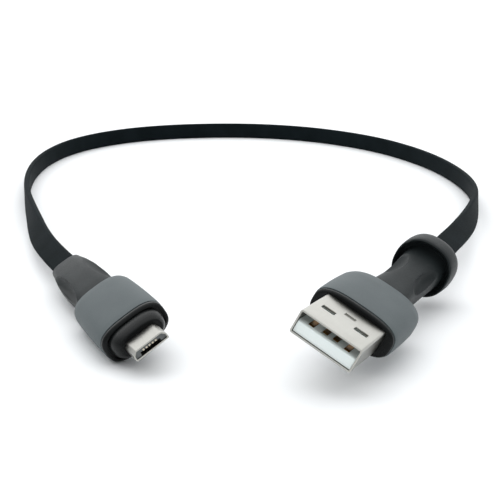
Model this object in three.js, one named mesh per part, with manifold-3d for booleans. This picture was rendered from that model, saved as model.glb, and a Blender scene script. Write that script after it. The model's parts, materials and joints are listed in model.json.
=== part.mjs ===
// A flat USB charging cable: a USB-A plug and a micro-USB B plug joined by a short black ribbon cable.
// Millimetres, +Z up. The origin is on the table, under the middle of the two plugs' common box. Both plugs
// point toward -Y and the ribbon loops round behind them. Each plug is built in a frame of its own: x across
// the plug, y back from its tip and z up through its top face.
import * as THREE from "three";
import { mergeVertices } from "three/addons/utils/BufferGeometryUtils.js";
import Module from "manifold-3d";

const wasm = await Module();
wasm.setup();

// ---- driving dimensions ----
const GAP = 0.3; // clearance between neighbouring pieces
const FIT = 0.08; // clearance inside the small metal parts
const PAST = 1; // how far a cutting solid reaches past what it cuts
const SIDES = 32; // sides of a lofted outline
const WIRE_COUNT = 4;
const WIRE_DIAMETER = 0.8;
const WIRE_PITCH = 1.15; // spacing of the conductors inside the ribbon
const WIRE_SIDES = 6;
const WIRE_FAN_LENGTH = 8; // the wires spread from the ribbon's pitch to the contacts over this length
const PASSAGE_WIDTH = 5.4; // the wires' passage through each strain relief
const PASSAGE_HEIGHTS = [2, 1.7]; // at its front and at its back

const RIBBON_WIDTH = 5.4;
const RIBBON_THICKNESS = 1.6;
const RIBBON_STEPS = 52;
const TWIST_LENGTH = 95; // the ribbon turns from each plug's tilt to standing on its edge over this length

const USB_A = {
  tip: [12.1, -29.98, 9.6],
  yaw: -23.9,
  pitch: -3.4,
  roll: 27.8,
  shellWidth: 12,
  shellHeight: 4.5,
  shellWall: 0.3,
  shellEnd: 17.8,
  bezelFront: 12.3,
  bodyEnd: 27.2,
  sleeveFront: 13.3,
  reliefEnd: 61.5,
};

const MICRO_B = {
  tip: [-16.8, -21.08, 5.66],
  yaw: 23.0,
  pitch: -0.8,
  roll: -31.9,
  shellWidth: 6.85,
  shellTopWidth: 5.4,
  shellHeight: 1.8,
  shellWall: 0.25,
  shellEnd: 9.5,
  noseFront: 5,
  bodyEnd: 27.6,
  sleeveFront: 9.5,
  reliefEnd: 57,
};

// ---- materials ----
function plastic(colour, roughness) {
  return new THREE.MeshStandardMaterial({ color: colour, roughness, metalness: 0 });
}

function metal(colour, roughness) {
  return new THREE.MeshStandardMaterial({ color: colour, roughness, metalness: 1 });
}

const MATERIALS = {
  steel: metal(0xd4dad0, 0.3),
  springSteel: metal(0xb8b8b4, 0.35),
  gold: metal(0xc89b4a, 0.35),
  whitePlastic: plastic(0xeef2ee, 0.45),
  greyPlastic: plastic(0x6a6e6e, 0.5),
  innerMould: plastic(0xd9d6cc, 0.6),
  blackPlastic: plastic(0x121413, 0.4),
  sleeve: plastic(0x6c7678, 0.5),
  relief: plastic(0x34393b, 0.6),
  ribbon: plastic(0x16191b, 0.55),
  red: plastic(0xb02020, 0.5),
  white: plastic(0xe6e6e2, 0.5),
  green: plastic(0x1f8a3c, 0.5),
  black: plastic(0x101010, 0.5),
};
const WIRE_MATERIALS = [MATERIALS.red, MATERIALS.white, MATERIALS.green, MATERIALS.black];
const WIRE_NAMES = ["red", "white", "green", "black"];

// ---- solids ----
function solidOf(geometry) {
  const bare = geometry.index ? geometry.toNonIndexed() : geometry.clone();
  bare.deleteAttribute("normal");
  bare.deleteAttribute("uv");
  const merged = mergeVertices(bare, 1e-4);
  const mesh = new wasm.Mesh({
    numProp: 3,
    vertProperties: new Float32Array(merged.attributes.position.array),
    triVerts: new Uint32Array(merged.index.array),
  });
  return new wasm.Manifold(mesh);
}

function geometryOf(solid) {
  const mesh = solid.getMesh();
  const geometry = new THREE.BufferGeometry();
  geometry.setAttribute("position", new THREE.BufferAttribute(mesh.vertProperties, 3));
  geometry.setIndex(new THREE.BufferAttribute(mesh.triVerts, 1));
  const flat = geometry.toNonIndexed();
  flat.computeVertexNormals();
  return flat;
}

// A box given by its two ends along x, y and z.
function box([x0, x1], [y0, y1], [z0, z1]) {
  const geometry = new THREE.BoxGeometry(x1 - x0, y1 - y0, z1 - z0);
  geometry.translate((x0 + x1) / 2, (y0 + y1) / 2, (z0 + z1) / 2);
  return solidOf(geometry);
}

// A closed outline in the x-z plane, extruded along y.
function prism(points, yStart, yEnd) {
  const shape = new THREE.Shape(points.map(([x, z]) => new THREE.Vector2(x, z)));
  const geometry = new THREE.ExtrudeGeometry(shape, { depth: yEnd - yStart, bevelEnabled: false });
  geometry.rotateX(Math.PI / 2);
  geometry.translate(0, yEnd, 0);
  return solidOf(geometry);
}

// One point of a rounded outline: power 2 is an ellipse, and a higher power is squarer.
function outlinePoint(angle, width, height, power) {
  const c = Math.cos(angle);
  const s = Math.sin(angle);
  return [
    (Math.sign(c) * Math.abs(c) ** (2 / power) * width) / 2,
    (Math.sign(s) * Math.abs(s) ** (2 / power) * height) / 2,
  ];
}

// A closed solid through rounded outlines. A station is [y, width, height, power, lift of its centre].
function loft(stations) {
  const positions = [];
  const indices = [];
  stations.forEach(([y, width, height, power, lift = 0]) => {
    for (let i = 0; i < SIDES; i++) {
      const [x, z] = outlinePoint((2 * Math.PI * i) / SIDES, width, height, power);
      positions.push(x, y, z + lift);
    }
  });
  const ends = [stations[0], stations[stations.length - 1]];
  ends.forEach(([y, , , , lift = 0]) => positions.push(0, y, lift));
  const frontCentre = stations.length * SIDES;
  const backCentre = frontCentre + 1;
  const lastRing = (stations.length - 1) * SIDES;
  for (let i = 0; i < SIDES; i++) {
    const j = (i + 1) % SIDES;
    for (let ring = 0; ring < lastRing; ring += SIDES) {
      indices.push(ring + i, ring + SIDES + i, ring + j);
      indices.push(ring + j, ring + SIDES + i, ring + SIDES + j);
    }
    indices.push(frontCentre, i, j);
    indices.push(backCentre, lastRing + j, lastRing + i);
  }
  const geometry = new THREE.BufferGeometry();
  geometry.setAttribute("position", new THREE.Float32BufferAttribute(positions, 3));
  geometry.setIndex(indices);
  return solidOf(geometry);
}

// The same stations with every outline made smaller by the wall, all round.
function inset(stations, wall) {
  return stations.map(([y, width, height, power, lift = 0]) => [
    y,
    width - 2 * wall,
    height - 2 * wall,
    power,
    lift,
  ]);
}

// A solid tube along a curve.
function tube(curve, section, steps) {
  return new THREE.ExtrudeGeometry(section, { steps, extrudePath: curve, bevelEnabled: false });
}

function namedMesh(name, geometry, material) {
  const mesh = new THREE.Mesh(geometry, material);
  mesh.name = name;
  return mesh;
}

function piece(name, solid, material) {
  return namedMesh(name, geometryOf(solid), material);
}

function plugGroup({ tip, yaw, pitch, roll }) {
  const group = new THREE.Group();
  const turn = [pitch, roll, yaw].map(THREE.MathUtils.degToRad);
  group.position.set(...tip);
  group.rotation.set(turn[0], turn[1], turn[2], "ZXY");
  return group;
}

// Where conductor i lies across the ribbon.
function conductorX(i) {
  return (i - (WIRE_COUNT - 1) / 2) * WIRE_PITCH;
}

// One insulated wire from a contact's tail to the end of the ribbon. It closes up to its neighbours first.
function wire([x, y, z], [xEnd, yEnd, lift]) {
  const section = new THREE.Shape();
  for (let i = 0; i < WIRE_SIDES; i++) {
    const angle = (2 * Math.PI * i) / WIRE_SIDES;
    const corner = [Math.cos(angle) * WIRE_DIAMETER * 0.5, Math.sin(angle) * WIRE_DIAMETER * 0.5];
    if (i === 0) section.moveTo(...corner);
    else section.lineTo(...corner);
  }
  section.closePath();
  const joined = y + WIRE_FAN_LENGTH;
  const places = [
    [x, y, z],
    [x, y + 1, z],
    [xEnd, joined, 0],
    [xEnd, (joined + yEnd) / 2, lift / 2],
    [xEnd, yEnd, lift],
  ];
  const curve = new THREE.CatmullRomCurve3(places.map((place) => new THREE.Vector3(...place)));
  return tube(curve, section, 12);
}

// ---- USB-A plug ----
const A_CONTACT_X = [-3.5, -1, 1, 3.5];
const A_CONTACT_NAMES = ["vbus", "data_minus", "data_plus", "ground"];
const A_CONTACT_FRONTS = { power: 1.2, data: 2.2 }; // the outer, power contacts mate first
const A_CONTACT_WIDTH = 1;
const A_CONTACT_TOP = 0.45;
const A_CONTACT_THICKNESS = 0.3;
const A_TAIL_END = 19.4;
const A_INSULATOR_RECESS = 0.6; // how far short of the shell's rear the insulator ends
const A_TONGUE_TOP = 0.35;
const A_TONGUE_FRONT = 0.35;
const A_BLOCK_FRONT = 8.2; // behind this the insulator fills the shell
const A_WINDOW = { x: 3.25, y: 6.15, width: 2.6, length: 1.5 };
const A_CLINCH = { y: 8.9, width: 2.2, length: 0.45 }; // the narrow cut in the top of the shell
const A_WIRE_PASSAGE = [8.4, 2]; // width and height, where the wires spread to the contacts

const A_BEZEL = [
  [USB_A.bezelFront, 15, 6.2, 3.2, -0.1],
  [12.75, 16.1, 6.9, 3, -0.1],
  [13, 16.1, 6.9, 3, -0.1],
];
const A_CORE = [
  [13, 13.6, 5.9, 4.2],
  [20, 13.8, 6, 4.2],
  [24, 13, 6, 3.8],
  [USB_A.bodyEnd, 11, 5.4, 3.2],
];
const A_SLEEVE = [
  [USB_A.sleeveFront, 16.35, 7.15, 3, -0.1],
  [15, 16.6, 7.4, 3, -0.08],
  [20, 16.7, 7.6, 3],
  [25.5, 16.5, 7.6, 3],
  [28.4, 15.8, 7.3, 2.8],
  [29.7, 15, 6.9, 2.7],
  [30.6, 13.2, 6.1, 2.7],
];
const A_SLEEVE_WALL = 0.45;
const A_REAR_OPENING = [
  [27, 9, 4.6, 2.6],
  [31, 9.2, 5, 2.6],
];
const A_MOULD = [
  [USB_A.shellEnd + GAP, 11.2, 3.9, 5],
  [USB_A.bodyEnd - 1, 9.6, 3.5, 5],
];
// The relief's front flange is held inside the sleeve.
const A_FLANGE = [
  [27.5, 10.4, 4.8, 2.8],
  [28.6, 9.8, 4.8, 2.8],
];
const A_EXIT_LIFT = 2.3; // the strain relief curves up by this much toward the cable
const A_RELIEF = [
  [28.6, 9, 4.6, 2.6],
  [32, 9.2, 5, 2.6, 0.15],
  [40, 8.7, 5.5, 2.6, 0.6],
  [48, 8.8, 6.3, 2.5, 1.2],
  [51.8, 9.1, 7, 2.4, 1.65],
  [52.4, 11.6, 10.7, 2.3, 2.1],
  [52.8, 12.1, 11.3, 2.3, 2.15],
  [56, 12.3, 11.6, 2.3, 2.25],
  [57.6, 12.15, 11.4, 2.3, A_EXIT_LIFT],
  [58.6, 11.5, 10.5, 2.3, A_EXIT_LIFT],
  [59.3, 10.5, 8.9, 2.35, A_EXIT_LIFT],
  [60.5, 8, 5, 2.6, A_EXIT_LIFT],
  [USB_A.reliefEnd, 6.4, 3, 3, A_EXIT_LIFT],
];

function usbAShell() {
  const { shellWidth, shellHeight, shellWall, shellEnd } = USB_A;
  const half = shellWidth / 2;
  const tall = shellHeight / 2;
  const outside = box([-half, half], [0, shellEnd], [-tall, tall]);
  const inside = box(
    [-half + shellWall, half - shellWall],
    [-PAST, shellEnd + PAST],
    [-tall + shellWall, tall - shellWall],
  );
  let shell = outside.subtract(inside);
  for (const side of [-1, 1]) {
    const { x, y, width, length } = A_WINDOW;
    const across = [side * x - width / 2, side * x + width / 2];
    const along = [y - length / 2, y + length / 2];
    shell = shell.subtract(box(across, along, [-tall - PAST, tall + PAST]));
  }
  const { y, width, length } = A_CLINCH;
  return shell.subtract(box([-width / 2, width / 2], [y, y + length], [0, tall + PAST]));
}

function usbAInsulator() {
  const half = USB_A.shellWidth / 2 - USB_A.shellWall - FIT;
  const tall = USB_A.shellHeight / 2 - USB_A.shellWall - FIT;
  const end = USB_A.shellEnd - A_INSULATOR_RECESS;
  const tongue = box([-half, half], [A_TONGUE_FRONT, end], [-tall, A_TONGUE_TOP]);
  let insulator = tongue.add(box([-half, half], [A_BLOCK_FRONT, end], [-tall, tall]));
  for (const x of A_CONTACT_X) {
    const reach = A_CONTACT_WIDTH / 2 + FIT;
    const floor = A_CONTACT_TOP - A_CONTACT_THICKNESS - FIT;
    const along = [A_CONTACT_FRONTS.power - 2 * FIT, end + PAST];
    const groove = box([x - reach, x + reach], along, [floor, A_CONTACT_TOP + FIT]);
    insulator = insulator.subtract(groove);
  }
  return insulator;
}

function usbAContact(x) {
  const front = Math.abs(x) > 2 ? A_CONTACT_FRONTS.power : A_CONTACT_FRONTS.data;
  const across = [x - A_CONTACT_WIDTH / 2, x + A_CONTACT_WIDTH / 2];
  return box(across, [front, A_TAIL_END], [A_CONTACT_TOP - A_CONTACT_THICKNESS, A_CONTACT_TOP]);
}

function wirePassage([width, height], yStart, yEnd) {
  return box([-width / 2, width / 2], [yStart, yEnd], [-height / 2, height / 2]);
}

function usbAInnerMould() {
  return loft(A_MOULD).subtract(wirePassage(A_WIRE_PASSAGE, 0, USB_A.reliefEnd));
}

// The black core that grips the shell and the inner mould, with the rim that closes the sleeve's front.
function usbABezel() {
  const acrossHalf = USB_A.shellWidth / 2 + GAP / 2;
  const tallHalf = USB_A.shellHeight / 2 + GAP / 2;
  const shellRoom = box([-acrossHalf, acrossHalf], [0, USB_A.shellEnd + GAP], [-tallHalf, tallHalf]);
  const mouldRoom = loft(inset(A_MOULD, -GAP));
  const solid = loft(A_BEZEL).add(loft(A_CORE));
  return solid
    .subtract(shellRoom)
    .subtract(mouldRoom)
    .subtract(wirePassage(A_WIRE_PASSAGE, USB_A.shellEnd, USB_A.reliefEnd));
}

function usbASleeve() {
  const cavity = inset(A_SLEEVE, A_SLEEVE_WALL);
  cavity[0][0] -= PAST;
  const closedCavity = loft(cavity.slice(0, -1));
  return loft(A_SLEEVE).subtract(closedCavity).subtract(loft(inset(A_REAR_OPENING, -GAP)));
}

// A passage for the wires, level up to yMiddle and then rising with the relief's centre.
function reliefPassage(yMiddle, yEnd, lift) {
  const [front, back] = PASSAGE_HEIGHTS;
  return loft([
    [yMiddle - 10, PASSAGE_WIDTH, front, 6],
    [yMiddle, PASSAGE_WIDTH, front, 6],
    [yEnd - PAST, PASSAGE_WIDTH, back, 6, lift],
    [yEnd + 4 * PAST, PASSAGE_WIDTH, back, 6, lift],
  ]);
}

function usbARelief() {
  const passage = reliefPassage(32, USB_A.reliefEnd, A_EXIT_LIFT);
  return loft(A_FLANGE).add(loft(A_RELIEF)).subtract(passage);
}

function usbAPlug() {
  const group = plugGroup(USB_A);
  group.add(piece("usb_a_shell", usbAShell(), MATERIALS.steel));
  group.add(piece("usb_a_insulator", usbAInsulator(), MATERIALS.whitePlastic));
  A_CONTACT_X.forEach((x, i) => {
    group.add(piece("usb_a_contact_" + A_CONTACT_NAMES[i], usbAContact(x), MATERIALS.gold));
    const from = [x, A_TAIL_END + FIT, A_CONTACT_TOP - A_CONTACT_THICKNESS / 2];
    const to = [conductorX(i), USB_A.reliefEnd - GAP, A_EXIT_LIFT];
    group.add(namedMesh("usb_a_wire_" + WIRE_NAMES[i], wire(from, to), WIRE_MATERIALS[i]));
  });
  group.add(piece("usb_a_inner_mould", usbAInnerMould(), MATERIALS.innerMould));
  group.add(piece("usb_a_bezel", usbABezel(), MATERIALS.blackPlastic));
  group.add(piece("usb_a_sleeve", usbASleeve(), MATERIALS.sleeve));
  group.add(piece("usb_a_strain_relief", usbARelief(), MATERIALS.relief));
  return group;
}

// ---- micro-USB B plug ----
const B_CONTACT_NAMES = ["vbus", "data_minus", "data_plus", "id", "ground"];
const B_CONTACT_PITCH = 0.65;
const B_CONTACT_WIDTH = 0.38;
const B_CONTACT_Z = [-0.12, 0.06];
const B_CONTACT_FRONT = 0.5;
const B_TAIL_END = 10.2;
const B_PLATE_BOTTOM = -0.02; // the insulator's plate, over the slot that takes the socket's tongue
const B_INSULATOR_FRONT = 0.3;
const B_BLOCK_FRONT = 5.2;
const B_INSULATOR_END = 9.1;
const B_RIB = { x: 2.18, width: 0.24 }; // the walls between the slot and the latches
const B_LATCH = { x: 2.65, width: 0.5, front: 1.6, pivotY: 5.6, end: 5.9, top: -0.4, bottom: -0.57 };
const B_HOOK = [
  [1.8, -0.5],
  [2.3, -1.17],
  [2.6, -1.17],
  [3.2, -0.5],
];
const B_HOOK_WINDOW = [1.6, 3.4];
const B_WIRE_CONTACTS = [0, 1, 2, 4]; // the ID contact has no wire
const B_WIRE_STAGGER = 0.5; // wires are soldered above and below the tails in turn
const B_WIRE_PASSAGE = [6.4, 2.2];
const B_MOULD = [
  [MICRO_B.shellEnd + GAP, 8, 3.1, 5],
  [MICRO_B.bodyEnd - 1.1, 7.8, 3.1, 5],
];

const B_RIM = [
  [8.2, 11.9, 6.2, 2.9, -0.28],
  [8.7, 12.9, 6.95, 3, -0.25],
  [9.2, 12.9, 6.95, 3, -0.25],
];
const B_GROOVE = [
  [7, 11.8, 6.1, 2.9, -0.28],
  [8.7, 11.5, 5.8, 2.9, -0.28],
];
const B_CORE = [
  [9.2, 10, 5.2, 2.8, -0.2],
  [24, 9.9, 5.2, 2.8],
  [MICRO_B.bodyEnd, 9, 4.5, 2.8],
];
const B_BOSS = [
  [MICRO_B.noseFront, 8.4, 4, 2.7, -0.2],
  [6, 9.7, 4.9, 2.7, -0.2],
  [7.6, 10.5, 5.3, 2.8, -0.25],
  [8.9, 10.6, 5.4, 2.8, -0.25],
];
const B_SLEEVE = [
  [MICRO_B.sleeveFront, 12.95, 7.15, 3, -0.25],
  [11, 13.15, 7.5, 3, -0.22],
  [16, 13.2, 7.75, 3, -0.12],
  [20, 13.1, 7.8, 3, -0.05],
  [26, 12.8, 7.6, 3],
  [28.6, 12, 7.1, 2.9],
  [29.6, 10.8, 6.2, 2.7],
];
const B_SLEEVE_WALL = 0.8;
const B_REAR_OPENING = [
  [27.8, 8.2, 4.2, 2.6],
  [30.2, 8.5, 4.7, 2.6],
];
const B_FLANGE = [
  [27.9, 9.2, 4.5, 2.8],
  [28.4, 8.9, 4.4, 2.8],
];
const B_RELIEF = [
  [28.4, 8.2, 4.2, 2.6],
  [30, 8.4, 4.6, 2.6],
  [34, 9.4, 5.6, 2.5],
  [40, 9.8, 5.8, 2.4],
  [46, 9.4, 5.4, 2.5],
  [51, 8.4, 4.6, 2.6],
  [55, 7.2, 3.6, 2.8],
  [MICRO_B.reliefEnd, 6.6, 3, 3],
];

// The shell's outline: the wide side is down, and the corners of the narrow side are cut off.
function microOutline(wall) {
  const half = MICRO_B.shellWidth / 2 - wall;
  const topHalf = MICRO_B.shellTopWidth / 2 - wall * 0.4;
  const tall = MICRO_B.shellHeight / 2 - wall;
  const shoulder = 0.15 - wall * 0.4;
  return [
    [-half, -tall],
    [half, -tall],
    [half, shoulder],
    [topHalf, tall],
    [-topHalf, tall],
    [-half, shoulder],
  ];
}

// The same span on the left side and on the right side of the plug.
function bothSides(x, width) {
  return [-1, 1].map((side) => [side * x - width / 2, side * x + width / 2]);
}

function microShell() {
  const outside = prism(microOutline(0), 0, MICRO_B.shellEnd);
  const inside = prism(microOutline(MICRO_B.shellWall), -PAST, MICRO_B.shellEnd + PAST);
  let shell = outside.subtract(inside);
  for (const across of bothSides(B_LATCH.x, B_LATCH.width + GAP)) {
    shell = shell.subtract(box(across, B_HOOK_WINDOW, [-MICRO_B.shellHeight, 0]));
  }
  return shell;
}

function microInsulator() {
  const outline = microOutline(MICRO_B.shellWall + FIT);
  const full = prism(outline, B_INSULATOR_FRONT, B_INSULATOR_END);
  const width = MICRO_B.shellWidth;
  const below = -MICRO_B.shellHeight;
  const slot = box([-width / 2, width / 2], [0, B_BLOCK_FRONT], [below, B_PLATE_BOTTOM]);
  let insulator = full.subtract(slot);
  for (const across of bothSides(B_RIB.x, B_RIB.width)) {
    const rib = box(across, [B_INSULATOR_FRONT, B_BLOCK_FRONT + FIT], [outline[0][1], 0]);
    insulator = insulator.add(rib);
  }
  for (const across of bothSides(B_LATCH.x, B_LATCH.width + 2 * FIT)) {
    const room = box(across, [0, B_LATCH.end + FIT], [below, B_LATCH.top + GAP]);
    insulator = insulator.subtract(room);
  }
  for (const x of contactPlaces()) {
    const reach = B_CONTACT_WIDTH / 2 + FIT;
    const [bottom, top] = B_CONTACT_Z;
    insulator = insulator.subtract(
      box([x - reach, x + reach], [0, B_INSULATOR_END + PAST], [bottom - FIT, top + FIT]),
    );
  }
  return insulator;
}

function contactPlaces() {
  return B_CONTACT_NAMES.map((_, i) => (i - 2) * B_CONTACT_PITCH);
}

function microContact(x) {
  const across = [x - B_CONTACT_WIDTH / 2, x + B_CONTACT_WIDTH / 2];
  return box(across, [B_CONTACT_FRONT, B_TAIL_END], B_CONTACT_Z);
}

// A shape drawn in the y-z plane and extruded along x.
function sideProfile(points, [xStart, xEnd]) {
  const shape = new THREE.Shape(points.map(([y, z]) => new THREE.Vector2(y, z)));
  const geometry = new THREE.ExtrudeGeometry(shape, { depth: xEnd - xStart, bevelEnabled: false });
  const turn = new THREE.Matrix4().makeBasis(
    new THREE.Vector3(0, 1, 0),
    new THREE.Vector3(0, 0, 1),
    new THREE.Vector3(1, 0, 0),
  );
  geometry.applyMatrix4(turn);
  geometry.translate(xStart, 0, 0);
  return solidOf(geometry);
}

// A leaf spring with a hook near its tip, which stands out of a window in the wide side of the shell.
function microLatch(across) {
  const leaf = box(across, [B_LATCH.front, B_LATCH.end], [B_LATCH.bottom, B_LATCH.top]);
  return leaf.add(sideProfile(B_HOOK, across));
}

function microNose() {
  const shellRoom = prism(microOutline(-GAP), 0, MICRO_B.shellEnd + GAP);
  const mouldRoom = loft(inset(B_MOULD, -GAP));
  const solid = loft(B_RIM).add(loft(B_CORE)).subtract(loft(B_GROOVE)).add(loft(B_BOSS));
  const passage = wirePassage(B_WIRE_PASSAGE, MICRO_B.shellEnd, MICRO_B.reliefEnd);
  return solid.subtract(shellRoom).subtract(mouldRoom).subtract(passage);
}

function microInnerMould() {
  return loft(B_MOULD).subtract(wirePassage(B_WIRE_PASSAGE, 0, MICRO_B.reliefEnd));
}

function microSleeve() {
  const cavity = inset(B_SLEEVE, B_SLEEVE_WALL);
  cavity[0][0] -= PAST;
  const closedCavity = loft(cavity.slice(0, -1));
  return loft(B_SLEEVE).subtract(closedCavity).subtract(loft(inset(B_REAR_OPENING, -GAP)));
}

function microRelief() {
  const passage = reliefPassage(34, MICRO_B.reliefEnd, 0);
  return loft(B_FLANGE).add(loft(B_RELIEF)).subtract(passage);
}

function microPlug() {
  const group = plugGroup(MICRO_B);
  group.add(piece("micro_b_shell", microShell(), MATERIALS.steel));
  group.add(piece("micro_b_insulator", microInsulator(), MATERIALS.greyPlastic));
  contactPlaces().forEach((x, i) => {
    group.add(piece("micro_b_contact_" + B_CONTACT_NAMES[i], microContact(x), MATERIALS.gold));
  });
  const [left, right] = bothSides(B_LATCH.x, B_LATCH.width);
  group.add(piece("micro_b_latch_left", microLatch(left), MATERIALS.springSteel));
  group.add(piece("micro_b_latch_right", microLatch(right), MATERIALS.springSteel));
  B_WIRE_CONTACTS.forEach((contact, i) => {
    const z = i % 2 ? -B_WIRE_STAGGER : B_WIRE_STAGGER;
    const from = [contactPlaces()[contact], B_TAIL_END + FIT, z];
    const to = [conductorX(i), MICRO_B.reliefEnd - GAP, 0];
    group.add(namedMesh("micro_b_wire_" + WIRE_NAMES[i], wire(from, to), WIRE_MATERIALS[i]));
  });
  group.add(piece("micro_b_inner_mould", microInnerMould(), MATERIALS.innerMould));
  group.add(piece("micro_b_nose", microNose(), MATERIALS.blackPlastic));
  group.add(piece("micro_b_sleeve", microSleeve(), MATERIALS.sleeve));
  group.add(piece("micro_b_strain_relief", microRelief(), MATERIALS.relief));
  return group;
}

// ---- ribbon cable ----
// The route of its centre line, from the micro-B plug round the back to the USB-A plug.
const ROUTE = [
  [-39.2, 31.6, 4.9],
  [-41.2, 36.3, 4.8],
  [-43.1, 41.0, 4.7],
  [-46.7, 50.6, 4.45],
  [-50.3, 62.0, 4.1],
  [-53.8, 75.0, 3.9],
  [-57.4, 89.5, 3.5],
  [-61.1, 105.0, 3.1],
  [-64.5, 121.5, 2.85],
  [-67.1, 139.0, 2.75],
  [-68.2, 157.5, 2.75],
  [-67.2, 176.0, 2.75],
  [-63.4, 193.5, 2.75],
  [-55.9, 209.0, 2.75],
  [-44.6, 221.5, 2.75],
  [-30.4, 229.5, 2.75],
  [-13.9, 233.0, 2.75],
  [3.1, 232.0, 2.75],
  [19.6, 225.5, 2.75],
  [34.1, 214.0, 2.75],
  [45.6, 199.5, 2.75],
  [54.1, 182.5, 2.75],
  [60.1, 164.0, 2.75],
  [63.4, 145.0, 2.8],
  [64.2, 126.0, 3.1],
  [62.4, 107.0, 3.8],
  [58.6, 88.5, 4.8],
  [53.9, 71.0, 5.7],
  [48.4, 54.0, 6.7],
  [43.8, 41.5, 7.4],
  [40.8, 33.3, 7.8],
  [38.1, 26.1, 8.0],
];

// The direction from the ribbon's centre line to its upper edge, which leans with the plug at each end.
function upperEdgeDirection(distance, total) {
  const up = new THREE.Vector3(0, 0, 1);
  const ends = [
    { plug: MICRO_B, side: 1, away: distance },
    { plug: USB_A, side: -1, away: total - distance },
  ];
  const nearer = ends[distance < total / 2 ? 0 : 1];
  const across = new THREE.Vector3(nearer.side, 0, 0);
  across.applyQuaternion(plugGroup(nearer.plug).quaternion);
  const share = THREE.MathUtils.smoothstep(nearer.away, 0, TWIST_LENGTH);
  return across.lerp(up, share).normalize();
}

class RibbonPath extends THREE.CatmullRomCurve3 {
  // Keeps the ribbon's width along the wanted edge direction instead of the curve's own twist.
  computeFrenetFrames(segments) {
    const tangents = [];
    const normals = [];
    const binormals = [];
    const total = this.getLength();
    for (let i = 0; i <= segments; i++) {
      const share = i / segments;
      const tangent = this.getTangentAt(share);
      const edge = upperEdgeDirection(share * total, total);
      const binormal = edge.addScaledVector(tangent, -edge.dot(tangent)).normalize();
      tangents.push(tangent);
      binormals.push(binormal);
      normals.push(new THREE.Vector3().crossVectors(binormal, tangent));
    }
    return { tangents, normals, binormals };
  }
}

function ribbonSection() {
  const half = RIBBON_WIDTH / 2;
  const thick = RIBBON_THICKNESS / 2;
  const corner = thick * 0.55;
  const points = [
    [thick, half - corner],
    [thick - corner, half],
    [corner - thick, half],
    [-thick, half - corner],
    [-thick, corner - half],
    [corner - thick, -half],
    [thick - corner, -half],
    [thick, corner - half],
  ];
  return new THREE.Shape(points.map(([across, along]) => new THREE.Vector2(across, along)));
}

function ribbon() {
  const points = ROUTE.map((place) => new THREE.Vector3(...place));
  const path = new RibbonPath(points, false, "centripetal");
  return namedMesh("cable_ribbon", tube(path, ribbonSection(), RIBBON_STEPS), MATERIALS.ribbon);
}

// ---- the cable ----
const cable = new THREE.Group();
cable.name = "usb_charging_cable";
cable.add(usbAPlug());
cable.add(microPlug());
cable.add(ribbon());

export default cable;
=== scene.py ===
"""Looks of a flat USB charging cable: a USB-A plug and a micro-USB B plug on a black ribbon cable.

Metres, +Z up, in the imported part's frame. Sizes inside a plug are in millimetres and in that plug's own
frame: x across the plug, y back from its tip and z up through its top face.
"""
import json
import math

import bmesh
import bpy
from mathutils import Euler, Matrix, Vector


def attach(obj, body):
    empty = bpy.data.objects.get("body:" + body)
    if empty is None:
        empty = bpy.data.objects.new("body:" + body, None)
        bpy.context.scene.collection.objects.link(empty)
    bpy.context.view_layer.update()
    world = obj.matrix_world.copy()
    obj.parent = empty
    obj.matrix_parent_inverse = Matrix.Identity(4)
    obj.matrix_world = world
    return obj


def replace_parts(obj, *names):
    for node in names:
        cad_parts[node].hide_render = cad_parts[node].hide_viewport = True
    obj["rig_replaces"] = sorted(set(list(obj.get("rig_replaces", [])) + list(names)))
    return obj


MM = 0.001

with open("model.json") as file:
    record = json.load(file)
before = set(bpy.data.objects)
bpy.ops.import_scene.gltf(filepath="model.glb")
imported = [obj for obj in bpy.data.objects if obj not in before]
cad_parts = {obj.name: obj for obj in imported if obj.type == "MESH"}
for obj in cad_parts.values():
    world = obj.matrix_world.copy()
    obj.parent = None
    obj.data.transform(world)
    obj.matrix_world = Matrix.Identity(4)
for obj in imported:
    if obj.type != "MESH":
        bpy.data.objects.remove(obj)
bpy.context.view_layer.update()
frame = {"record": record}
scene = bpy.context.scene
SLOT_OF = {part["node"]: part["material_slot"] for part in frame["record"]["subparts"]}

# ---- the two plugs' places, as the part has them: tip in millimetres, turns in degrees ----
USB_A = {"tip": (12.1, -29.98, 9.6), "yaw": -23.9, "pitch": -3.4, "roll": 27.8}
MICRO_B = {"tip": (-16.8, -21.08, 5.66), "yaw": 23.0, "pitch": -0.8, "roll": -31.9}

SIDES = 96  # points round a lofted outline
PAST = 1.0  # how far a cutting shape reaches past what it cuts
SNUG = 0.05  # gap between moulded pieces that touch on the real cable
METAL_FIT = 0.06  # gap between a contact or shell and the insulator in it

RIBBON_WIDTH = 0.0054
RIBBON_THICKNESS = 0.0016
TWIST_LENGTH = 0.095  # the ribbon turns from a plug's tilt to standing on its edge over this length
RIBBON_IN_RELIEF = 0.0012  # how far each end of the ribbon goes into its strain relief


def plug_matrix(plug):
    """From a plug's own frame, in metres, to the part's frame."""
    yaw = Matrix.Rotation(math.radians(plug["yaw"]), 4, "Z")
    pitch = Matrix.Rotation(math.radians(plug["pitch"]), 4, "X")
    roll = Matrix.Rotation(math.radians(plug["roll"]), 4, "Y")
    return Matrix.Translation(Vector(plug["tip"]) * MM) @ yaw @ pitch @ roll


# ---- camera ----
def add_camera():
    data = bpy.data.cameras.new("camera")
    data.lens = 82.7
    data.sensor_width = 36
    data.clip_start = 0.01
    data.clip_end = 50
    camera = bpy.data.objects.new("camera", data)
    camera.location = (-0.0001, -0.2040, 0.0706)
    camera.rotation_euler = Euler((math.radians(90 - 14.75), 0, 0))
    scene.collection.objects.link(camera)
    scene.camera = camera


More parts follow.
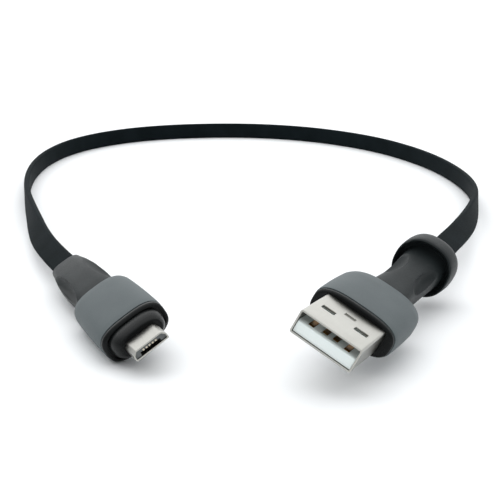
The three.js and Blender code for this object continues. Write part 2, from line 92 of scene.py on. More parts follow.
# ---- outlines ----
def outline(width, height, power, lift=0.0, taper=0.0, sides=SIDES):
    """(x, z) round an outline. Power 2 is an ellipse and more is squarer; taper narrows its top."""
    points = []
    for i in range(sides):
        angle = 2 * math.pi * i / sides
        c, s = math.cos(angle), math.sin(angle)
        x = math.copysign(abs(c) ** (2 / power), c) * width / 2
        z = math.copysign(abs(s) ** (2 / power), s) * height / 2
        narrower = 1 - taper * (z / height + 0.5)
        points.append((x * narrower, z + lift))
    return points


def rectangle(width, height, centre=(0, 0)):
    x, z = centre
    w, h = width / 2, height / 2
    return [(x - w, z - h), (x + w, z - h), (x + w, z + h), (x - w, z + h)]


def rounded(points, radius, steps=4):
    """The outline with its corners rounded."""
    made = []
    for i, place in enumerate(points):
        corner = Vector(place)
        before = Vector(points[i - 1]) - corner
        after = Vector(points[(i + 1) % len(points)]) - corner
        reach = min(radius, 0.48 * before.length, 0.48 * after.length)
        first = corner + before.normalized() * reach
        last = corner + after.normalized() * reach
        for k in range(steps + 1):
            t = k / steps
            made.append(tuple((1 - t) ** 2 * first + 2 * t * (1 - t) * corner + t * t * last))
    return made


# ---- shapes: each is (vertices, faces) ----
def skin(rings, closed=False):
    """Faces over a row of rings, with its ends capped. closed joins the last ring to the first instead."""
    vertices = [point for ring in rings for point in ring]
    count = len(rings[0])
    total = len(rings)
    faces = []
    for r in range(total if closed else total - 1):
        a, b = r * count, (r + 1) % total * count
        for i in range(count):
            j = (i + 1) % count
            faces.append((a + i, a + j, b + j, b + i))
    if not closed:
        faces.append(tuple(reversed(range(count))))
        faces.append(tuple(range((total - 1) * count, total * count)))
    return vertices, faces


def carry(points, axis, start, end):
    """An outline carried along an axis: (y, z) points along x, (x, z) along y, or (x, y) along z."""
    place = {
        "x": lambda p, at: (at, p[0], p[1]),
        "y": lambda p, at: (p[0], at, p[1]),
        "z": lambda p, at: (p[0], p[1], at),
    }[axis]
    return skin([[place(p, at) for p in points] for at in (start, end)])


def block(x, y, z):
    """A box given by its two ends along x, y and z."""
    return carry([(x[0], z[0]), (x[1], z[0]), (x[1], z[1]), (x[0], z[1])], "y", *y)


def between(before, here, there, after, t):
    """The station t of the way from here to there, on a curve that never overshoots either of them."""
    length = there[0] - here[0]
    made = [here[0] + t * length]
    for k in range(1, len(here)):
        step = (there[k] - here[k]) / length
        left = (here[k] - before[k]) / (here[0] - before[0]) if before else step
        right = (after[k] - there[k]) / (after[0] - there[0]) if after else step
        start = 0.0 if left * step <= 0 else 2 * left * step / (left + step)
        end = 0.0 if right * step <= 0 else 2 * right * step / (right + step)
        made.append(
            (1 + 2 * t) * (1 - t) ** 2 * here[k]
            + t * t * (3 - 2 * t) * there[k]
            + length * (t * (1 - t) ** 2 * start - t * t * (1 - t) * end)
        )
    return tuple(made)


def smooth(stations, step=0.5):
    """The stations with more between them, no further than step apart along y."""
    made = []
    for i, (here, there) in enumerate(zip(stations, stations[1:])):
        before = stations[i - 1] if i else None
        after = stations[i + 2] if i + 2 < len(stations) else None
        count = max(1, math.ceil((there[0] - here[0]) / step))
        made += [between(before, here, there, after, j / count) for j in range(count)]
    return made + [stations[-1]]


def rings_of(stations):
    """A ring for each station: y, width, height, power, lift of its centre, narrowing of its top."""
    return [[(x, station[0], z) for x, z in outline(*station[1:])] for station in stations]


def loft(stations, step=0.5):
    return skin(rings_of(smooth(stations, step)))


def inset(stations, wall):
    """The stations with every outline made smaller by the wall, all round."""
    return [(s[0], s[1] - 2 * wall, s[2] - 2 * wall, *s[3:]) for s in stations]


def tube(points, radius, sides=12):
    """A round tube along points, in any one frame."""
    places = [Vector(p) for p in points]
    rings = []
    for i, place in enumerate(places):
        ahead = places[min(i + 1, len(places) - 1)] - places[max(i - 1, 0)]
        up = Vector((0, 0, 1))
        out = ahead.cross(up).normalized()
        up = out.cross(ahead).normalized()
        turns = [2 * math.pi * k / sides for k in range(sides)]
        rings.append([place + radius * (out * math.cos(a) + up * math.sin(a)) for a in turns])
    return skin(rings)


# ---- objects ----
def new_object(name, shape, scale=MM):
    vertices, faces = shape
    mesh = bpy.data.meshes.new(name)
    mesh.from_pydata([Vector(v) * scale for v in vertices], [], faces)
    work = bmesh.new()
    work.from_mesh(mesh)
    bmesh.ops.recalc_face_normals(work, faces=work.faces)
    work.to_mesh(mesh)
    work.free()
    obj = bpy.data.objects.new(name, mesh)
    scene.collection.objects.link(obj)
    return obj


def settle(obj):
    """Applies the object's modifiers to its mesh."""
    bpy.context.view_layer.update()
    evaluated = obj.evaluated_get(bpy.context.evaluated_depsgraph_get())
    mesh = bpy.data.meshes.new_from_object(evaluated)
    obj.modifiers.clear()
    old = obj.data
    obj.data = mesh
    bpy.data.meshes.remove(old)


def combine(obj, operation, shapes):
    for shape in shapes:
        other = new_object("other", shape)
        change = obj.modifiers.new("combine", "BOOLEAN")
        change.operation = operation
        change.solver = "EXACT"
        change.object = other
        settle(obj)
        bpy.data.objects.remove(other)


def cut(obj, *shapes):
    combine(obj, "DIFFERENCE", shapes)


def join(obj, *shapes):
    combine(obj, "UNION", shapes)


def bevel(obj, width, segments=2, angle=35):
    """Rounds every edge sharper than the angle, and keeps the flat faces between them looking flat."""
    change = obj.modifiers.new("bevel", "BEVEL")
    change.width = width * MM
    change.segments = segments
    change.limit_method = "ANGLE"
    change.angle_limit = math.radians(angle)
    settle(obj)
    obj.data.polygons.foreach_set("use_smooth", [True] * len(obj.data.polygons))
    obj.modifiers.new("flat faces", "WEIGHTED_NORMAL").weight = 100
    settle(obj)


def new_piece(node, shape):
    """The detailed piece that will stand for a CAD node."""
    return new_object(node + "_detailed", shape)


def place(piece, node, plug=None, body="cable", sharp=40, look=None):
    """Finishes a piece: its shading, material, plug's place, body and the node it stands for.

    look names a material other than the one its slot has.
    """
    if not piece.data.has_custom_normals:
        piece.data.polygons.foreach_set("use_smooth", [True] * len(piece.data.polygons))
        piece.data.set_sharp_from_angle(angle=math.radians(sharp))
    piece.data.materials.clear()
    piece.data.materials.append(looks[look or SLOT_OF[node]])
    if plug:
        piece.matrix_world = plug_matrix(plug)
    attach(piece, body)
    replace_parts(piece, node)
    return piece


# ---- materials ----
class Surface:
    """One procedural material, with helpers for the nodes that its finish needs."""

    def __init__(self, name, roughness, metallic=0.0, specular=0.5):
        self.material = bpy.data.materials.new(name)
        self.material.use_nodes = True
        self.tree = self.material.node_tree
        self.shader = self.tree.nodes["Principled BSDF"]
        self.shader.inputs["Metallic"].default_value = metallic
        self.shader.inputs["Roughness"].default_value = roughness
        self.shader.inputs["Specular IOR Level"].default_value = specular
        self.place = self.tree.nodes.new("ShaderNodeTexCoord").outputs["Object"]

    def link(self, output, socket):
        self.tree.links.new(output, socket)

    def noise(self, scale, detail=3.0, stretch=(1, 1, 1), roughness=0.55):
        """Noise over the object's own coordinates; stretch scales each axis."""
        mapping = self.tree.nodes.new("ShaderNodeMapping")
        mapping.inputs["Scale"].default_value = stretch
        self.link(self.place, mapping.inputs["Vector"])
        node = self.tree.nodes.new("ShaderNodeTexNoise")
        node.inputs["Scale"].default_value = scale
        node.inputs["Detail"].default_value = detail
        node.inputs["Roughness"].default_value = roughness
        self.link(mapping.outputs["Vector"], node.inputs["Vector"])
        return node.outputs["Fac"]

    def ranged(self, value, low, high, to_low=0.0, to_high=1.0):
        """The value from low to high mapped to to_low to to_high, and held at its ends."""
        node = self.tree.nodes.new("ShaderNodeMapRange")
        node.inputs["From Min"].default_value = low
        node.inputs["From Max"].default_value = high
        node.inputs["To Min"].default_value = to_low
        node.inputs["To Max"].default_value = to_high
        self.link(value, node.inputs["Value"])
        return node.outputs["Result"]

    def added(self, first, second):
        node = self.tree.nodes.new("ShaderNodeMath")
        node.operation = "ADD"
        self.link(first, node.inputs[0])
        self.link(second, node.inputs[1])
        return node.outputs["Value"]

    def mixed(self, share, first, second):
        """Colour first where share is 0 and second where it is 1. Each is a colour or a socket."""
        node = self.tree.nodes.new("ShaderNodeMix")
        node.data_type = "RGBA"
        self.link(share, node.inputs["Factor"])
        for socket, colour in ((node.inputs[6], first), (node.inputs[7], second)):
            if isinstance(colour, tuple):
                socket.default_value = (*colour, 1)
            else:
                self.link(colour, socket)
        return node.outputs[2]

    def colour(self, socket):
        self.link(socket, self.shader.inputs["Base Color"])

    def rough(self, socket):
        self.link(socket, self.shader.inputs["Roughness"])

    def bump(self, height, strength, distance):
        """Adds a height to the surface, on top of those added before it."""
        node = self.tree.nodes.new("ShaderNodeBump")
        node.inputs["Strength"].default_value = strength
        node.inputs["Distance"].default_value = distance
        self.link(height, node.inputs["Height"])
        normal = self.shader.inputs["Normal"]
        if normal.is_linked:
            self.link(normal.links[0].from_socket, node.inputs["Normal"])
        self.link(node.outputs["Normal"], normal)


def moulded(name, dark, light, roughness, grain=5200, depth=0.00002, specular=0.5):
    """Moulded plastic: a fine grain, softly clouded colour and a few long handling marks."""
    surface = Surface(name, roughness, specular=specular)
    cloud = surface.ranged(surface.noise(140), 0.3, 0.7)
    grains = surface.noise(grain, 2)
    marks = surface.ranged(surface.noise(900, 4, (1, 0.12, 1), 0.7), 0.66, 0.8)
    surface.colour(surface.mixed(cloud, dark, light))
    sheen = surface.ranged(grains, 0.35, 0.65, roughness - 0.04, roughness + 0.05)
    surface.rough(surface.added(sheen, surface.ranged(marks, 0, 1, 0, 0.08)))
    surface.bump(grains, 0.35, depth)
    return surface.material


def plated(name, dark, light, roughness, depth=0.000001):
    """Plated sheet metal: fine rolling lines along the plug, faint clouding and small scuffs."""
    surface = Surface(name, roughness, metallic=1.0)
    lines = surface.noise(160, 3, (30, 1, 30), 0.5)
    cloud = surface.noise(210)
    scuffs = surface.ranged(surface.noise(420, 5, (5, 0.7, 5), 0.72), 0.62, 0.78)
    tint = surface.mixed(surface.ranged(cloud, 0.3, 0.7), dark, light)
    dull = tuple(0.8 * channel for channel in dark)
    surface.colour(surface.mixed(surface.ranged(scuffs, 0, 1, 0, 0.35), tint, dull))
    sheen = surface.ranged(lines, 0.3, 0.7, roughness - 0.02, roughness + 0.03)
    surface.rough(surface.added(sheen, surface.ranged(scuffs, 0, 1, 0, 0.1)))
    surface.bump(lines, 0.06, depth)
    surface.bump(scuffs, 0.1, depth)
    return surface.material


def make_looks():
    """The materials, by the record's slot names."""
    return {
        "plug_steel": plated("plated_steel", (0.375, 0.37, 0.34), (0.42, 0.415, 0.385), 0.3),
        "spring_steel": plated("spring_steel", (0.45, 0.45, 0.43), (0.56, 0.56, 0.54), 0.28),
        # The USB-A contacts' gold is the plating's own hue, darkened to brown as painted shade for the
        # shadow inside the plug's mouth.
        "gold_contact": plated("contact_gold_with_painted_shade", (0.16, 0.085, 0.03), (0.28, 0.155, 0.055), 0.3),
        "pale_contact": plated("pale_contact", (0.50, 0.45, 0.36), (0.62, 0.57, 0.47), 0.35),
        "white_insulator": moulded(
            "white_plastic", (0.80, 0.87, 0.85), (0.86, 0.92, 0.90), 0.35, 2600, 0.00001, 0.3
        ),
        "grey_insulator": moulded(
            "grey_plastic", (0.11, 0.12, 0.12), (0.16, 0.17, 0.17), 0.42, 5200, 0.00001, 0.3
        ),
        "inner_mould": moulded("milky_mould", (0.62, 0.60, 0.54), (0.72, 0.70, 0.64), 0.5),
        "black_mould": moulded(
            "black_plastic", (0.003, 0.004, 0.004), (0.006, 0.007, 0.007), 0.3, 3800, 0.000006, 0.15
        ),
        "grey_sleeve": moulded(
            "grey_satin", (0.090, 0.106, 0.110), (0.101, 0.118, 0.122), 0.5, 6400, 0.00001, 0.1
        ),
        "dark_relief": moulded(
            "dark_rubber", (0.012, 0.0150, 0.0155), (0.017, 0.021, 0.022), 0.42, 4200, 0.00001, 0.08
        ),
        "ribbon_jacket": moulded(
            "black_jacket", (0.006, 0.009, 0.010), (0.009, 0.013, 0.015), 0.55, 3600, 0.00001, 0.01
        ),
        "wire_red": moulded("wire_red", (0.42, 0.02, 0.02), (0.55, 0.04, 0.03), 0.4),
        "wire_white": moulded("wire_white", (0.70, 0.70, 0.68), (0.82, 0.82, 0.80), 0.4),
        "wire_green": moulded("wire_green", (0.02, 0.22, 0.05), (0.04, 0.32, 0.09), 0.4),
        "wire_black": moulded("wire_black", (0.008, 0.008, 0.008), (0.016, 0.016, 0.016), 0.4),
    }


# ---- ribbon cable ----
# The route of its centre line, from the micro-B plug round the back to the USB-A plug.
ROUTE = [
    (-0.0392, 0.0316, 0.0049),
    (-0.0412, 0.0363, 0.0048),
    (-0.0431, 0.0410, 0.0047),
    (-0.0467, 0.0506, 0.00445),
    (-0.0503, 0.0620, 0.0041),
    (-0.0538, 0.0750, 0.0039),
    (-0.0574, 0.0895, 0.0035),
    (-0.0611, 0.1050, 0.0031),
    (-0.0645, 0.1215, 0.00285),
    (-0.0671, 0.1390, 0.00275),
    (-0.0682, 0.1575, 0.00275),
    (-0.0672, 0.1760, 0.00275),
    (-0.0634, 0.1935, 0.00275),
    (-0.0559, 0.2090, 0.00275),
    (-0.0446, 0.2215, 0.00275),
    (-0.0304, 0.2295, 0.00275),
    (-0.0139, 0.2330, 0.00275),
    (0.0031, 0.2320, 0.00275),
    (0.0196, 0.2255, 0.00275),
    (0.0341, 0.2140, 0.00275),
    (0.0456, 0.1995, 0.00275),
    (0.0541, 0.1825, 0.00275),
    (0.0601, 0.1640, 0.00275),
    (0.0634, 0.1450, 0.0028),
    (0.0642, 0.1260, 0.0031),
    (0.0624, 0.1070, 0.0038),
    (0.0586, 0.0885, 0.0048),
    (0.0539, 0.0710, 0.0057),
    (0.0484, 0.0540, 0.0067),
    (0.0438, 0.0415, 0.0074),
    (0.0408, 0.0333, 0.0078),
    (0.0381, 0.0261, 0.0080),
]


def route_points(steps=8):
    """Points along a centripetal Catmull-Rom curve through the route."""
    given = [Vector(p) for p in ROUTE]
    given = [2 * given[0] - given[1], *given, 2 * given[-1] - given[-2]]
    points = []
    for p0, p1, p2, p3 in zip(given, given[1:], given[2:], given[3:]):
        t1 = (p1 - p0).length ** 0.5
        t2 = t1 + (p2 - p1).length ** 0.5
        t3 = t2 + (p3 - p2).length ** 0.5
        for j in range(steps):
            t = t1 + (t2 - t1) * j / steps
            a1 = p0.lerp(p1, t / t1)
            a2 = p1.lerp(p2, (t - t1) / (t2 - t1))
            a3 = p2.lerp(p3, (t - t2) / (t3 - t2))
            b1 = a1.lerp(a2, t / t2)
            b2 = a2.lerp(a3, (t - t1) / (t3 - t1))
            points.append(b1.lerp(b2, (t - t1) / (t2 - t1)))
    points.append(given[-2])
    inward = [plug_matrix(plug).to_3x3() @ Vector((0, -1, 0)) for plug in (MICRO_B, USB_A)]
    reach = RIBBON_IN_RELIEF + 0.0003
    return [points[0] + inward[0] * reach, *points, points[-1] + inward[1] * reach]


def line_length(points):
    return sum((b - a).length for a, b in zip(points, points[1:]))


def upper_edge(distance, total):
    """From the centre line to the ribbon's upper edge, which leans with the plug at each end."""
    if distance < total / 2:
        plug, side, away = MICRO_B, 1, distance
    else:
        plug, side, away = USB_A, -1, total - distance
    across = plug_matrix(plug).to_3x3() @ Vector((side, 0, 0))
    t = min(1.0, away / TWIST_LENGTH)
    share = t * t * (3 - 2 * t)
    return across.lerp(Vector((0, 0, 1)), share).normalized()


def add_ribbon():
    points = route_points()
    total = line_length(points)
    section = rounded(rectangle(RIBBON_THICKNESS, RIBBON_WIDTH), 0.0007, 5)
    rings = []
    distance = 0.0
    for i, point in enumerate(points):
        ahead = points[min(i + 1, len(points) - 1)]
        behind = points[max(i - 1, 0)]
        if i:
            distance += (point - behind).length
        tangent = (ahead - behind).normalized()
        up = upper_edge(distance, total)
        up = (up - up.dot(tangent) * tangent).normalized()
        out = up.cross(tangent)
        rings.append([point + out * x + up * z for x, z in section])
    ribbon = new_object("cable_ribbon_detailed", skin(rings), scale=1.0)
    return place(ribbon, "cable_ribbon"), points


# ---- wires, which fan out from the ribbon to the contacts inside each plug ----
WIRE_NAMES = ["red", "white", "green", "black"]
WIRE_RADIUS = 0.4
WIRE_PITCH = 1.15
WIRE_FAN_LENGTH = 8


def wire_line(start, end_x, end_y, lift):
    """A wire's centre line: straight off its contact, then closing up, then along to the ribbon."""
    x, y, z = start
    joined = y + WIRE_FAN_LENGTH
    line = []
    for k in range(13):
        t = k / 12
        share = t * t * (3 - 2 * t)
        line.append((x + (end_x - x) * share, y + (joined - y) * t, z * (1 - share)))
    for k in range(1, 13):
        t = k / 12
        line.append((end_x, joined + (end_y - joined) * t, lift * t))
    return line


def add_wires(plug, prefix, starts, relief_end, lift):
    end_y = relief_end - RIBBON_IN_RELIEF / MM - 0.1
    middle = (len(WIRE_NAMES) - 1) / 2
    for i, (name, start) in enumerate(zip(WIRE_NAMES, starts)):
        node = f"{prefix}_wire_{name}"
        end_x = (i - middle) * WIRE_PITCH
        wire = new_piece(node, tube(wire_line(start, end_x, end_y, lift), WIRE_RADIUS))
        place(wire, node, plug)


def seam_cuts(length, tab, surface, depth, width=0.07):
    """Thin cuts along the joint of a folded shell, with one interlocking tab: (y, y, reach across)."""
    y0, y1, reach = tab
    flare = 0.25
    line = [(0, -PAST), (0, y0), (reach, y0 - flare), (reach, y1 + flare), (0, y1), (0, length)]
    cuts = []
    for a, b in zip(line, line[1:]):
        start, end = Vector(a), Vector(b)
        along = (end - start).normalized() * width / 2
        across = Vector((-along.y, along.x))
        start, end = start - along, end + along
        corners = [start - across, end - across, end + across, start + across]
        cuts.append(carry([tuple(c) for c in corners], "z", surface - PAST, surface + depth))
    return cuts


# Below, each station of a plug's outline is y, width, height, power, and then, where they aren't zero, the
# lift of its centre and the narrowing of its top.

# ---- USB-A plug ----
A_SHELL = {"width": 12, "height": 4.5, "wall": 0.3, "end": 17.8}
A_BEZEL_FRONT = 12.3
A_RELIEF_END = 61.5
A_EXIT_LIFT = 2.3
A_CONTACT_X = {"vbus": -3.5, "data_minus": -1, "data_plus": 1, "ground": 3.5}
A_CONTACT_TOP = 0.45
A_CONTACT_WIDTH = 1
A_TAIL_END = 19.4
A_MOULD = [(18.1, 11.2, 3.9, 5), (26.2, 9.6, 3.5, 5)]
A_BEZEL = [
    (A_BEZEL_FRONT, 14.9, 5.9, 3, -0.1),
    (12.36, 15.4, 6.3, 3, -0.1),
    (12.5, 15.8, 6.6, 3, -0.1),
    (12.75, 16.1, 6.9, 3, -0.1),
    (13.15, 16.1, 6.9, 3, -0.1),
]
A_CORE = [(13.0, 13.6, 5.9, 4.2), (20, 13.8, 6, 4.2), (24, 13, 6, 3.8), (27.2, 11, 5.4, 3.2)]
A_SLEEVE = [
    (13.42, 16.35, 7.15, 3, -0.1),
    (14, 16.5, 7.3, 3, -0.1),
    (15, 16.6, 7.4, 3, -0.08),
    (20, 16.7, 7.6, 3, 0),
    (25.5, 16.5, 7.6, 3, 0),
    (28.4, 15.8, 7.3, 2.8, 0),
    (29.7, 15, 6.9, 2.7, 0),
    (30.4, 14, 6.4, 2.7, 0),
    (30.8, 12.7, 5.8, 2.7, 0),
]
A_RELIEF = [
    (28.6, 9.4, 5, 3.6, 0, 0.05),
    (32, 9.2, 5.1, 3.6, 0.15, 0.1),
    (39, 8.8, 5.5, 3.4, 0.6, 0.16),
    (44, 8.8, 5.9, 3, 0.9, 0.12),
    (48, 8.8, 6.3, 2.8, 1.2, 0.05),
    (50.4, 8.9, 6.7, 2.7, 1.45, 0),
    (51.6, 9, 6.9, 2.6, 1.6, 0),
]
# The groove round the collar's front, its lip and its back.
A_COLLAR = [
    (52.4, 9.1, 7.05, 2.5, 1.7, 0),
    (53.6, 9.35, 7.5, 2.4, 1.85, 0),
    (54, 9.8, 8.3, 2.35, 2, 0),
    (53.8, 10.5, 9.3, 2.3, 2.05, 0),
    (52.8, 11.05, 10.05, 2.3, 2.05, 0),
    (52.35, 11.35, 10.4, 2.3, 2.1, 0),
    (52.25, 11.65, 10.75, 2.3, 2.1, 0),
    (52.35, 11.9, 11.05, 2.3, 2.1, 0),
    (52.8, 12.1, 11.3, 2.3, 2.15, 0),
    (54, 12.2, 11.5, 2.3, 2.2, 0),
    (56, 12.3, 11.6, 2.3, 2.25, 0),
    (57.6, 12.15, 11.4, 2.3, 2.3, 0),
    (58.6, 11.5, 10.5, 2.3, 2.3, 0),
    (59.3, 10.5, 8.9, 2.35, 2.3, 0),
    (59.9, 9.3, 7, 2.4, 2.3, 0),
    (60.5, 8, 5, 2.6, 2.3, 0),
    (61.1, 7, 3.6, 2.9, 2.3, 0),
    (61.35, 6.7, 3.2, 3, 2.3, 0),
    (61.5, 6.4, 2.9, 3, 2.3, 0),
]


def side_scoops(start, deepest, end, radius):
    """Two round shapes that hollow the upper sides of a neck: x, y, z at their ends and deepest place."""
    start, deepest, end = Vector(start), Vector(deepest), Vector(end)
    pull = 2 * deepest - (start + end) / 2
    shapes = []
    for side in (-1, 1):
        line = []
        for k in range(17):
            t = k / 16
            x, y, z = (1 - t) ** 2 * start + 2 * t * (1 - t) * pull + t * t * end
            line.append((side * x, y, z))
        shapes.append(tube(line, radius, 32))
    return shapes


def passage(middle, end, lift):
    """The room for the wires through a strain relief, opening on the ribbon."""
    stations = [
        (middle - 10, 4.6, 2, 6),
        (middle, 4.6, 2, 6),
        (end - 3, 4.6, 1.9, 6, 0.9 * lift),
        (end - 1.6, 5.66, 1.9, 6, lift),
        (end + 3, 5.66, 1.9, 6, lift),
    ]
    return skin(rings_of(stations))


def add_a_shell():
    width, height, wall, end = (A_SHELL[k] for k in ("width", "height", "wall", "end"))
    top = height / 2
    piece = new_piece("usb_a_shell", carry(rounded(rectangle(width, height), 0.45), "y", 0, end))
    inside = rounded(rectangle(width - 2 * wall, height - 2 * wall), 0.2)
    cut(piece, carry(inside, "y", -PAST, end + PAST))
    for side in (-1, 1):
        window = rounded(rectangle(2.6, 1.5, (3.25 * side, 6.15)), 0.25)
        cut(piece, carry(window, "z", -top - PAST, top + PAST))
    ramp = [(8.35, top + PAST), (8.35, top - 0.03), (9.45, top - 0.22), (9.45, top + PAST)]
    cut(piece, carry(ramp, "x", -1.1, 1.1))
    cut(piece, *seam_cuts(A_BEZEL_FRONT + PAST, (3.2, 5.2, 1.2), -top, 0.16))
    bevel(piece, 0.05)
    place(piece, "usb_a_shell", USB_A)


def add_a_tongue():
    half = A_SHELL["width"] / 2 - A_SHELL["wall"] - METAL_FIT
    low = -A_SHELL["height"] / 2 + A_SHELL["wall"] + METAL_FIT
    front, block_front, back, top = 0.3, 8.2, 17.2, 0.35
    lead_in = [(front + 0.4, top), (front, top - 0.25)]
    side = [(front, low), (back, low), (back, -low), (block_front, -low), (block_front, top), *lead_in]
    piece = new_piece("usb_a_insulator", carry(side, "x", -half, half))
    for x in A_CONTACT_X.values():
        reach = A_CONTACT_WIDTH / 2 + METAL_FIT
        cut(piece, block((x - reach, x + reach), (0.8, back + PAST), (0.08, A_CONTACT_TOP + METAL_FIT)))
    bevel(piece, 0.05)
    place(piece, "usb_a_insulator", USB_A)


def add_a_contacts():
    for name, x in A_CONTACT_X.items():
        node = f"usb_a_contact_{name}"
        front = 0.9 if name in ("vbus", "ground") else 1.8
        bottom = 0.15
        nose = [(front + 0.5, A_CONTACT_TOP), (front + 0.15, A_CONTACT_TOP - 0.1)]
        side = [(front, bottom), (A_TAIL_END, bottom), (A_TAIL_END, A_CONTACT_TOP), *nose]
        half = A_CONTACT_WIDTH / 2
        piece = new_piece(node, carry(rounded(side, 0.12, 2), "x", x - half, x + half))
        bevel(piece, 0.04)
        place(piece, node, USB_A)


def add_a_mouldings():
    inner = new_piece("usb_a_inner_mould", loft(A_MOULD))
    cut(inner, block((-4.2, 4.2), (0, A_RELIEF_END), (-1, 1)))
    place(inner, "usb_a_inner_mould", USB_A)

    bezel = new_piece("usb_a_bezel", loft(A_BEZEL, 0.2))
    join(bezel, loft(A_CORE))
    grip = 2 * METAL_FIT
    room = rounded(rectangle(A_SHELL["width"] + grip, A_SHELL["height"] + grip), 0.5)
    cut(bezel, carry(room, "y", 0, 18.1), loft(inset(A_MOULD, -0.1)))
    cut(bezel, block((-4.2, 4.2), (17, A_RELIEF_END), (-1, 1)))
    bevel(bezel, 0.06, angle=50)
    place(bezel, "usb_a_bezel", USB_A)

    sleeve = new_piece("usb_a_sleeve", loft(A_SLEEVE, 0.25))
    cavity = inset(A_SLEEVE[:-2], 0.45)
    cavity[0] = (cavity[0][0] - PAST, *cavity[0][1:])
    neck = inset([(27, 9.4, 5, 3.6, 0, 0.05), (31, 9.4, 5, 3.6, 0, 0.05)], -SNUG)
    cut(sleeve, loft(cavity), skin(rings_of(neck)))
    bevel(sleeve, 0.12, segments=3, angle=50)
    place(sleeve, "usb_a_sleeve", USB_A)

    relief = new_piece("usb_a_strain_relief", skin(rings_of(smooth(A_RELIEF, 0.4) + A_COLLAR)))
    join(relief, loft([(27.5, 10.4, 4.8, 2.8), (28.7, 9.8, 4.8, 2.8)]))
    cut(relief, passage(32, A_RELIEF_END, A_EXIT_LIFT))
    cut(relief, *side_scoops((6, 34, 4.2), (3.7, 44.5, 3.7), (7.5, 53, 7.5), 1.9))
    place(relief, "usb_a_strain_relief", USB_A, sharp=50)


def add_usb_a():
    add_a_shell()
    add_a_tongue()
    add_a_contacts()
    add_a_mouldings()
    starts = [(x, A_TAIL_END + 0.08, 0.3) for x in A_CONTACT_X.values()]
    add_wires(USB_A, "usb_a", starts, A_RELIEF_END, A_EXIT_LIFT)


# ---- micro-USB B plug ----
B_SHELL = {"width": 6.85, "top": 5.4, "height": 1.8, "wall": 0.25, "end": 9.5}
B_NOSE_FRONT = 5
B_RELIEF_END = 57
B_TAIL_END = 10.2
B_CONTACT_X = {"vbus": -1.3, "data_minus": -0.65, "data_plus": 0, "id": 0.65, "ground": 1.3}
B_CONTACT_Z = (-0.12, 0.06)
B_CONTACT_WIDTH = 0.38
B_LATCH_X = 2.65
B_MOULD = [(9.8, 8, 3.1, 5), (26.5, 7.8, 3.1, 5)]
B_RIM = [
    (8.2, 11.3, 5.7, 2.9, -0.3),
    (8.25, 11.9, 6.1, 2.9, -0.3),
    (8.45, 12.5, 6.6, 3, -0.28),
    (8.8, 12.9, 6.95, 3, -0.25),
    (9.3, 12.9, 6.95, 3, -0.25),
]
B_GROOVE = [(7, 11.8, 6.1, 2.9, -0.28), (8.75, 11.5, 5.8, 2.9, -0.28)]
B_BOSS = [
    (5.05, 7.9, 3.3, 2.7, -0.15),
    (B_NOSE_FRONT, 8.15, 3.55, 2.7, -0.15),
    (5.08, 8.45, 3.85, 2.7, -0.15),
    (5.4, 9, 4.35, 2.7, -0.17),
    (6, 9.7, 4.9, 2.75, -0.2),
    (6.8, 10.3, 5.3, 2.8, -0.22),
    (7.6, 10.6, 5.5, 2.85, -0.25),
    (9, 10.7, 5.55, 2.85, -0.25),
]
B_CORE = [(9.2, 10, 5.2, 2.8, -0.2), (24, 9.9, 5.2, 2.8, 0), (27.6, 9, 4.5, 2.8, 0)]
B_SLEEVE = [
    (9.55, 12.95, 7.15, 3, -0.25),
    (10.2, 13.1, 7.35, 3, -0.25),
    (11, 13.15, 7.5, 3, -0.22),
    (16, 13.2, 7.75, 3, -0.12),
    (20, 13.1, 7.8, 3, -0.05),
    (26, 12.8, 7.6, 3, 0),
    (28.2, 12.2, 7.2, 2.9, 0),
    (29.2, 11.4, 6.6, 2.8, 0),
    (29.6, 10.6, 6, 2.7, 0),
]
B_RELIEF = [
    (28.4, 8.9, 4.8, 3.6, 0, 0.05),
    (30, 8.9, 5, 3.6, 0, 0.06),
    (34, 9.4, 5.5, 3.6, 0, 0.08),
    (40, 9.9, 5.8, 3.4, 0, 0.12),
    (46, 9.8, 5.5, 3.2, 0, 0.14),
    (51, 8.8, 4.7, 3, 0, 0.12),
    (55, 7.4, 3.7, 3, 0, 0.05),
    (56.7, 6.8, 3.1, 3, 0, 0),
    (B_RELIEF_END, 6.5, 2.8, 3, 0, 0),
]


def b_outline(wall):
    """The shell's outline: the wide side is down, and the corners of the narrow side are cut off."""
    half = B_SHELL["width"] / 2 - wall
    top = B_SHELL["top"] / 2 - wall * 0.4
    tall = B_SHELL["height"] / 2 - wall
    shoulder = 0.15 - wall * 0.4
    return [(-half, -tall), (half, -tall), (half, shoulder), (top, tall), (-top, tall), (-half, shoulder)]


def add_b_shell():
    end, wall = B_SHELL["end"], B_SHELL["wall"]
    low = -B_SHELL["height"] / 2
    piece = new_piece("micro_b_shell", carry(rounded(b_outline(0), 0.28), "y", 0, end))
    cut(piece, carry(rounded(b_outline(wall), 0.12), "y", -PAST, end + PAST))
    for side in (-1, 1):
        window = rounded(rectangle(0.8, 1.8, (B_LATCH_X * side, 2.5)), 0.12)
        cut(piece, carry(window, "z", low - PAST, 0))
    cut(piece, *seam_cuts(B_NOSE_FRONT + PAST, (2, 3, 0.5), low, 0.12, 0.05))
    bevel(piece, 0.035)
    place(piece, "micro_b_shell", MICRO_B)


